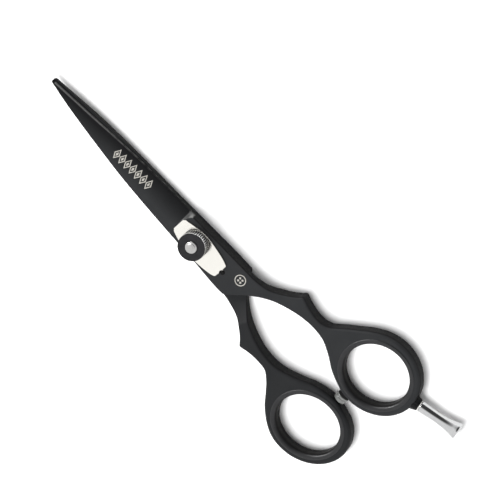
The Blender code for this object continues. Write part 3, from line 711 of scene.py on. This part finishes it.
etched = moulded("etched", (0.27, 0.26, 0.235), (0.39, 0.375, 0.34), (0.35, 0.5), 0.03, 0.001)


def wear_of(piece, *materials):
    for material in materials:
        piece.data.materials.append(material)


def keep(node, material):
    """A CAD node that stays gets a better material."""
    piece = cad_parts[node]
    if piece.data.materials:
        for slot in range(len(piece.data.materials)):
            piece.data.materials[slot] = material
    else:
        piece.data.materials.append(material)


# ---------------------------------------------------------------- the two halves
def blade_points(spine, edge):
    """Points that carry the honed edge and the shoulder of a blade."""
    y = np.linspace(SHOULDER_TOP + 0.4, BLADE_END_Y, 230)
    side = np.sign(edge_line(spine, y) - edge_line(edge, y))
    rows = [np.stack((edge_line(edge, y) + side * d, y), 1) for d in HONED_ROWS]
    share = np.linspace(0.01, 0.97, 24)
    steps = []
    for s in share:
        near_edge = np.clip(1 - s / EDGE_SHARE, 0, 1)
        for y in (SHOULDER_Y - SHOULDER_DIP * near_edge, SHOULDER_Y - SHOULDER_BEND * near_edge,
                  SHOULDER_TOP):
            for shift in (-0.04, 0.04):
                x = edge_line(edge, y) * (1 - s) + edge_line(spine, y) * s
                steps.append((x, y + shift))
    return rows + [np.array(steps)]


def line_points(line, count, share):
    """Points across a shank, on a line part of the way between two ramp lines."""
    (a, b), (c, d) = np.array(line)
    start = a + (c - a) * share
    end = b + (d - b) * share
    return start + (end - start) * np.linspace(0, 1, count)[:, None]


def edge_marks(spine, edge, plan, outside_first):
    """Distance from the cutting edge and share of the bare shoulder, on outside and riding face.

    The distance is shifted so that the bare strip along the edge is wider towards the tip.
    """
    line = smooth(edge, 0.5)
    gap = np.min(np.linalg.norm(plan[:, None] - line[None], axis=2), axis=1)
    x, y = plan.T
    shift = HONED_TAPER * np.clip((HONED_EVEN_Y - y) / HONED_RUN, -0.55, 1)
    far_away = 9.0
    gap = np.where(y > SHOULDER_TOP, gap + shift, far_away)
    share = (x - edge_line(edge, y)) / (edge_line(spine, y) - edge_line(edge, y))
    near_edge = np.clip(1 - share / EDGE_SHARE, 0, 1)
    on_slope = (y > SHOULDER_Y - SHOULDER_DIP * near_edge - 0.02) & (y < SHOULDER_TOP + 0.02)
    lower = np.clip((SHOULDER_Y + 0.1 - y) / 0.3, 0, 1)
    band = 0.3 * np.clip((0.62 - share) / 0.12, 0, 1)
    slope = np.where(on_slope, band + 0.7 * lower * np.clip(2 * near_edge, 0, 1), 0.0)
    pair = (gap, gap * 0.5) if outside_first else (gap * 0.5, gap)
    slopes = (slope, 0 * slope) if outside_first else (0 * slope, slope)
    return {"edge_gap": np.concatenate(pair), "shoulder": np.concatenate(slopes)}


def build_finger_half():
    holes = [oval(FINGER_HOLE, HOLE_ANGLES, INSERT_WALL + INSERT_GAP),
             ring_of((0, 0), BUSH_R + BORE_GAP, 64)]
    inner = blade_points(FINGER_SPINE, FINGER_EDGE)
    inner += [line_points(FINGER_RAMP, 40, s) for s in np.linspace(0, 1, 12)]
    inner += [ring_of(PIN_PLACE, r, 32) for r in PIN_RIM]
    inner += [ring_of((0, 0), r, 64) for r in WASHER_RIM]
    finger = plate("finger_half_shell", finger_outline(), holes, (finger_top, finger_bottom),
                   (outer_rim, parting_rim), inner, levels=6, step=0.6,
                   marks=lambda plan: edge_marks(FINGER_SPINE, FINGER_EDGE, plan, True))
    wear_of(finger, blade_coat)
    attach(finger, "finger_half")
    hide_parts("finger_blade")


def build_thumb_half():
    holes = [oval(THUMB_HOLE, HOLE_ANGLES, INSERT_WALL + INSERT_GAP),
             ring_of((0, 0), BOLT_NECK_R + BORE_GAP, 64)]
    inner = blade_points(THUMB_SPINE, THUMB_EDGE)
    inner += [line_points(THUMB_RAMP, 40, s) for s in np.linspace(0, 1, 12)]
    inner += [ring_of((0, 0), r, 64) for r in BOLT_RIM + WASHER_RIM]
    thumb = plate("thumb_half_shell", thumb_outline(), holes, (thumb_top, thumb_bottom),
                  (parting_rim, outer_rim), inner, levels=6, step=0.6,
                  marks=lambda plan: edge_marks(THUMB_SPINE, THUMB_EDGE, plan, False))
    wear_of(thumb, blade_coat)
    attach(thumb, "thumb_half")
    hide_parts("thumb_blade")


# ---------------------------------------------------------------- ring inserts
def insert_section():
    """Section of a ring insert: (distance out from the finger hole, height)."""
    half = 0.5 * INSERT_HEIGHT
    lip_low = STACK + RIDE_GAP - half
    upper = [(0.0, 0.6), (0.02, 1.5), (0.12, 2.1), (0.34, 2.5), (0.66, 2.76), (1.0, 2.88),
             (1.3, half - 0.03), (1.5, half), (1.7, half - 0.03), (1.8, lip_low + 0.04),
             (INSERT_WALL + 0.38, lip_low), (INSERT_WALL, lip_low)]
    upper = smooth(upper[:10], 0.12).tolist() + upper[10:]
    lower = [(d, -h) for d, h in upper[::-1]]
    return [(d, HANDLE_MID + h) for d, h in upper + lower]


def build_inserts():
    for name, node, hole, body in (
        ("finger_insert", "finger_ring_insert", FINGER_HOLE, "finger_half"),
        ("thumb_insert", "thumb_ring_insert", THUMB_HOLE, "thumb_half"),
    ):
        section = insert_section()
        rows = []
        for out, height in section:
            ring = oval(hole, HOLE_ANGLES, out)
            rows.append(np.column_stack((ring, np.full(len(ring), height))))
        piece = skin(name, rows, closed=True, sharp=50)
        rise = np.abs(np.array(section)[:, 1] - HANDLE_MID)
        # lip: 1 on the lips, 0 on the inner wall, which the material darkens with painted shade
        note(piece, "lip", np.repeat(np.clip((rise - 2.2) / 0.5, 0, 1), len(HOLE_ANGLES)))
        wear_of(piece, soft_black)
        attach(piece, body)
        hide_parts(node)


# ---------------------------------------------------------------- pivot stack
def leaf_outline():
    side = smooth([(2.82, 7.35), (3.4, 5.5), (4.05, 2.6), (4.5, -0.4), (4.42, -3.0),
                   (4.15, -5.6), (3.7, -8.4), (3.15, -10.6), (2.82, -11.4)], 0.35)
    side = np.array([(2.05, 8.1), (2.18, 8.04), *side, (2.68, -11.62), (2.45, -11.76)])
    notch_r = PIN_R + 0.15
    tail = [(notch_r * math.sin(a), PIN_PLACE[1] + 0.05 + notch_r * math.cos(a))
            for a in np.radians(np.linspace(75, 0, 9))]
    half = [tuple(p) for p in side] + [(1.0, -11.86)] + tail
    mirrored = [(-x, y) for x, y in half[-2::-1]]
    lean = math.radians(LEAF_LEAN)
    c, s = math.cos(lean), math.sin(lean)
    return np.array([(c * x - s * y + LEAF_SHIFT, s * x + c * y)
                     for x, y in half + mirrored])[::-1]


def flat_at(height):
    """A face, or a rim, that has one height everywhere."""
    return lambda x, y: height + 0 * x


def build_leaf():
    shade = np.linspace(0, 1.45, 9)
    profile = [(0.1, PIN_FOOT), (PIN_R - 0.05, PIN_FOOT), (PIN_R, PIN_FOOT + 0.05),
               (PIN_R, STACK - 0.1)]
    profile += [(PIN_R * math.cos(a), STACK - 0.05 + 0.3 * math.sin(a)) for a in shade]
    pin = skin("leaf_pin_turned", turned(profile, 40), sharp=40)
    pin.location = Vector((*PIN_PLACE, 0)) * MM
    wear_of(pin, pin_black)
    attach(pin, "finger_half")
    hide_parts("leaf_pin")

    leaf = plate("leaf_plate", leaf_outline(), [ring_of((0, 0), BOLT_R + 0.15, 48)],
                 (flat_at(LEAF_TOP), flat_at(LEAF_LOW)), (flat_at(0.14), flat_at(0.05)),
                 [np.zeros((0, 2))], levels=4, step=0.8)
    wear_of(leaf, leaf_steel)
    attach(leaf, "finger_half")
    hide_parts("tension_leaf")


def build_dial():
    well, shelf, core, skirt = 2.02, 9.6, 2.35, 3.75
    face_r = DIAL_R - 0.06
    outside = [(skirt, DIAL_LOW + 0.05), (skirt + 0.05, DIAL_LOW), (DIAL_R - 0.3, DIAL_LOW),
               (DIAL_R - 0.06, DIAL_LOW + 0.2), (DIAL_R, DIAL_LOW + 0.28), (DIAL_R, 8.4),
               (DIAL_R, DIAL_TOP - 0.52), (DIAL_R - 0.01, DIAL_TOP - 0.44),
               (DIAL_R - 0.04, DIAL_TOP - 0.38), (face_r + 0.04, DIAL_TOP - 0.05)]
    top = [(face_r + 0.01, DIAL_TOP - 0.05), (face_r - 0.03, DIAL_TOP), (3.2, DIAL_TOP),
           (well + 0.06, DIAL_TOP), (well, DIAL_TOP - 0.06), (well, shelf), (core, shelf),
           (core, DIAL_CEILING), (skirt, DIAL_CEILING)]
    profile = outside + top
    per_rib = 8
    rows = turned(profile, DIAL_RIBS * per_rib)
    phase = np.arange(DIAL_RIBS * per_rib) % per_rib / per_rib
    dip = np.clip(0.5 - 0.9 * np.cos(2 * math.pi * phase), 0, 1)
    groove = np.zeros(rows.shape[:2])
    # row of the profile, how much of the groove it has, and how much painted shade its ribs get
    for row, share, rib in ((3, 0.9, 0.9), (4, 1, 0.8), (5, 1, 0.4), (6, 1, 0.3), (7, 0.3, 0.1)):
        rows[row, :, :2] *= (1 - share * RIB_DEPTH / DIAL_R * dip)[:, None]
        groove[row] = rib + (share - rib) * dip
    tones = [1 if i < len(outside) - 1 else 0 for i in range(len(profile))]
    dial = skin("dial_knurled", rows, closed=True, sharp=35, tones=tones)
    # painted shade for the knurl: darkest in the grooves and low on the dial
    note(dial, "groove", groove)
    wear_of(dial, dial_coat, knurled("knurl_steel"))
    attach(dial, "dial")
    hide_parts("tension_dial")


def build_screw():
    """Domed screw with turned ripples, a ring groove and a dimple in the middle."""
    edge, low, crown, spread = 1.92, 10.72, 0.38, 0.9
    angle = np.linspace(spread, 0.03, 48)
    out = edge * np.sin(angle) / math.sin(spread)
    height = low + crown * (np.cos(angle) - math.cos(spread)) / (1 - math.cos(spread))
    ripple = 0.016 * np.cos(2 * math.pi * out / 0.62)
    ring_groove = 0.03 * np.exp(-((out - 1.45) / 0.12) ** 2)
    dimple = 0.06 * np.exp(-(out / 0.3) ** 2)
    height += ripple - ring_groove
    height -= dimple
    profile = [(0.75, 7.8), (0.75, 9.9), (edge - 0.08, 9.9), (edge, 9.98), (edge, low - 0.05)]
    profile += list(zip(out, height))
    screw = skin("screw_dome", turned(profile, 64), sharp=40)
    wear_of(screw, dome_steel)
    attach(screw, "thumb_half")
    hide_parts("dial_screw")


# ---------------------------------------------------------------- bumper and finger rest
def build_bumper():
    length = SILENCER_BASE_X - SILENCER_END_X
    place = (SILENCER_BASE_X, SILENCER_Y, HANDLE_MID)
    radius = 2.25
    profile = [(0.61, 0.05), (radius - 0.2, 0.05), (radius, 0.25), (radius, 0.7),
               (radius - 0.12, 0.82), (radius - 0.12, 1.0), (radius, 1.12), (radius, length - 0.5),
               (radius - 0.12, length - 0.18), (radius - 0.45, length), (0.9, length),
               (0.8, length - 0.08), (0.3, length - 0.1)]
    bumper = skin("bumper", turned(rounded(profile, 0.1), 64), sharp=50)
    stand(bumper, place, (-1, 0, 0))
    wear_of(bumper, bumper_plastic)
    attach(bumper, "finger_half")
    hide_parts("silencer_bumper")

    profile = [(2.7, -1.0), (2.15, -0.35), (2.0, 0.1), (2.0, 0.5), (1.8, 0.7), (0.62, 0.7),
               (0.62, 0.2)]
    collar = skin("bumper_collar", turned(rounded(profile, 0.2), 64), sharp=50)
    stand(collar, (SILENCER_BASE_X + 0.7, SILENCER_Y, HANDLE_MID), (-1, 0, 0))
    wear_of(collar, coat)
    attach(collar, "finger_half")


def build_rest():
    lean = math.radians(REST_LEAN)
    direction = (math.sin(lean), -math.cos(lean), 0)
    place = (*REST_BASE, HANDLE_MID)
    profile = [(2.75, -1.1), (2.45, -0.4), (2.4, 0.1), (2.2, 0.6), (1.98, 1.35), (1.9, 1.55),
               (1.12, 1.55), (1.12, 1.2)]
    collar = skin("rest_collar", turned(rounded(profile, 0.15), 64), sharp=50)
    stand(collar, place, direction)
    wear_of(collar, coat)
    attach(collar, "finger_half")

    side = smooth([(1.95, 2.05), (1.93, 3.2), (1.86, 5.0), (1.77, 7.0), (1.78, 8.6), (1.88, 10.4),
                   (2.08, 12.0), (2.42, 13.7), (2.8, 15.1), (2.93, 15.7), (2.88, 16.05),
                   (2.6, 16.28)], 0.25).tolist()
    end = [(2.45, 16.3), (1.5, 16.3), (1.4, 16.24), (1.3, 15.8), (0.7, 15.6), (0.05, 15.6)]
    profile = [(1.06, 1.86), (1.8, 1.86), (1.9, 1.94)] + side + rounded(end, 0.1).tolist()
    horn = skin("rest_horn", turned(profile, 96), sharp=40)
    stand(horn, place, direction)
    wear_of(horn, chrome)
    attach(horn, "rest")
    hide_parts("finger_rest")


# ---------------------------------------------------------------- etched marks
def etched_mark(name, shapes):
    """Thin etched figures, laid on the outside of the finger half."""
    mesh = bmesh.new()
    for outer, hole in shapes:
        outer = np.array(outer, float)
        count = len(outer)
        high = finger_top(*outer.T)
        top = [mesh.verts.new(Vector((*p, z + MARK_LIFT)) * MM) for p, z in zip(outer, high)]
        low = [mesh.verts.new(Vector((*p, z - MARK_SINK)) * MM) for p, z in zip(outer, high)]
        sides = [(top, low, 1)]
        if hole is not None:
            hole = np.array(hole, float)
            inner_high = finger_top(*hole.T)
            top_in = [mesh.verts.new(Vector((*p, z + MARK_LIFT)) * MM)
                      for p, z in zip(hole, inner_high)]
            low_in = [mesh.verts.new(Vector((*p, z - MARK_SINK)) * MM)
                      for p, z in zip(hole, inner_high)]
            sides.append((top_in, low_in, -1))
            for i in range(count):
                j = (i + 1) % count
                mesh.faces.new((top[i], top[j], top_in[j], top_in[i]))
                mesh.faces.new((low[j], low[i], low_in[i], low_in[j]))
        else:
            mesh.faces.new(top)
            mesh.faces.new(low[::-1])
        for high_row, low_row, way in sides:
            for i in range(count):
                j = (i + 1) % count
                quad = (high_row[j], high_row[i], low_row[i], low_row[j])
                mesh.faces.new(quad if way > 0 else quad[::-1])
    data = bpy.data.meshes.new(name)
    mesh.to_mesh(data)
    mesh.free()
    piece = show(name, data)
    wear_of(piece, etched)
    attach(piece, "finger_half")


def lozenge(centre, half_x, half_y):
    """Corners and side points of a lozenge."""
    cx, cy = centre
    corners = np.array([(half_x, 0), (0, half_y), (-half_x, 0), (0, -half_y)])
    points = [corners[i] * (1 - t) + corners[(i + 1) % 4] * t for i in range(4)
              for t in np.linspace(0, 1, 5)[:-1]]
    return [(cx + x, cy + y) for x, y in points]


def build_marks():
    """A row of seven lozenges on the blade, and a ring with four dots on the shank."""
    shapes = []
    for y in np.linspace(23.6, 37.4, 7):
        x = 1.72 - (y - 30) * 0.035
        shapes.append((lozenge((x, y), 1.95, 1.1), lozenge((x, y), 1.38, 0.76)))
        shapes.append((lozenge((x, y), 0.75, 0.4), None))
    etched_mark("blade_mark", shapes)
    middle, dots_r, dot = (2.15, -18.2), 0.72, 0.42
    shapes = [(ring_of(middle, 1.9, 48), ring_of(middle, 1.62, 48))]
    for k in range(4):
        a = math.radians(90 * k + 45)
        centre = (middle[0] + dots_r * math.cos(a), middle[1] + dots_r * math.sin(a))
        shapes.append((lozenge(centre, dot, dot), None))
    etched_mark("shank_mark", shapes)


# ---------------------------------------------------------------- pieces left as in the CAD
def dress_nodes():
    for node in ("pivot_bolt", "click_ring", "dial_washer", "detent_ball", "detent_spring",
                 "silencer_stud", "finger_rest_stud"):
        keep(node, turned_steel)

    keep("pivot_bush", brass)
    keep("dial_nut", dark_steel)
    for node in ("glide_washer", "finger_rest_washer"):
        keep(node, nylon)


# ---------------------------------------------------------------- floor, light and camera
def build_floor():
    data = bpy.data.meshes.new("floor")
    half = 2.0
    data.from_pydata([(-half, -half, 0), (half, -half, 0), (half, half, 0), (-half, half, 0)], [],
                     [(0, 1, 2, 3)])
    floor = bpy.data.objects.new("floor", data)
    floor.location.z = -0.0002
    bpy.context.scene.collection.objects.link(floor)
    look = Shader("floor_white", (0.92, 0.92, 0.92), 0.9, 0.0)
    look.set("Base Color", look.mix(look.span(look.noise(60), 0.3, 0.7, 0, 1), (0.92, 0.92, 0.92),
                                    (0.93, 0.93, 0.93)))
    floor.data.materials.append(look.material)


def build_world():
    """A bright even studio with one soft dark region, up towards +X."""
    dark_tilt, dark_edge, dark_core = (math.radians(a) for a in (50, 52, 24))
    bright, dim = 1.25, 0.08
    world = bpy.data.worlds.new("studio")
    bpy.context.scene.world = world
    world.use_nodes = True
    tree = world.node_tree
    background = tree.nodes["Background"]
    place = tree.nodes.new("ShaderNodeTexCoord")
    toward = tree.nodes.new("ShaderNodeVectorMath")
    toward.operation = "DOT_PRODUCT"
    toward.inputs[1].default_value = (math.sin(dark_tilt), 0, math.cos(dark_tilt))
    dark = tree.nodes.new("ShaderNodeMapRange")
    dark.interpolation_type = "SMOOTHSTEP"
    dark.inputs["From Min"].default_value = math.cos(dark_edge)
    dark.inputs["From Max"].default_value = math.cos(dark_core)
    dark.inputs["To Min"].default_value = bright
    dark.inputs["To Max"].default_value = dim
    tree.links.new(place.outputs["Generated"], toward.inputs[0])
    tree.links.new(toward.outputs["Value"], dark.inputs["Value"])
    tree.links.new(dark.outputs["Result"], background.inputs["Strength"])
    background.inputs["Color"].default_value = (1.0, 1.0, 1.0, 1)


def area_lamp(name, size, energy, place, aim):
    """A rectangular lamp at a place, turned to face the aim point (metres)."""
    lamp = bpy.data.lights.new(name, "AREA")
    lamp.shape = "RECTANGLE"
    lamp.size, lamp.size_y = size
    lamp.energy = energy
    holder = bpy.data.objects.new(name, lamp)
    holder.location = Vector(place)
    holder.rotation_euler = (Vector(aim) - Vector(place)).to_track_quat("-Z", "Y").to_euler()
    bpy.context.scene.collection.objects.link(holder)
    return holder


def build_lamps():
    """A softbox that casts the shadows, and a strip that only shows in reflections."""
    box = area_lamp("softbox", (0.40, 0.55), 9.0, (-0.31, 0.0, 0.86), (0, -0.01, 0))
    box.visible_glossy = False
    strip = area_lamp("strip", (0.70, 0.14), 10.0, (0.12, 0.80, 0.62), (0, -0.02, 0))
    strip.visible_diffuse = False


def build_camera():
    tilt, roll = math.radians(CAMERA_TILT), math.radians(CAMERA_ROLL)
    side = Vector((math.cos(tilt), 0, -math.sin(tilt)))
    along = Vector((0, 1, 0))
    back = Vector((math.sin(tilt), 0, math.cos(tilt)))
    right = math.cos(roll) * side - math.sin(roll) * along
    up = math.sin(roll) * side + math.cos(roll) * along
    centre = Vector((0, 0, STACK)) + FRAME_SHIFT[0] * right + FRAME_SHIFT[1] * up
    camera = bpy.data.cameras.new("camera")
    camera.sensor_width = 36
    camera.lens = 320
    distance = FRAME_WIDTH * camera.lens / camera.sensor_width
    camera.clip_end = 20
    holder = bpy.data.objects.new("camera", camera)
    turn = Matrix((right, up, back)).transposed().to_4x4()
    holder.matrix_world = Matrix.Translation((centre + back * distance) * MM) @ turn
    bpy.context.scene.collection.objects.link(holder)
    bpy.context.scene.camera = holder
    bpy.context.scene.view_settings.view_transform = "Standard"


build_camera()
build_floor()
build_world()
build_lamps()
build_finger_half()
build_thumb_half()
build_inserts()
build_leaf()
build_dial()
build_screw()
build_bumper()
build_rest()
build_marks()
dress_nodes()
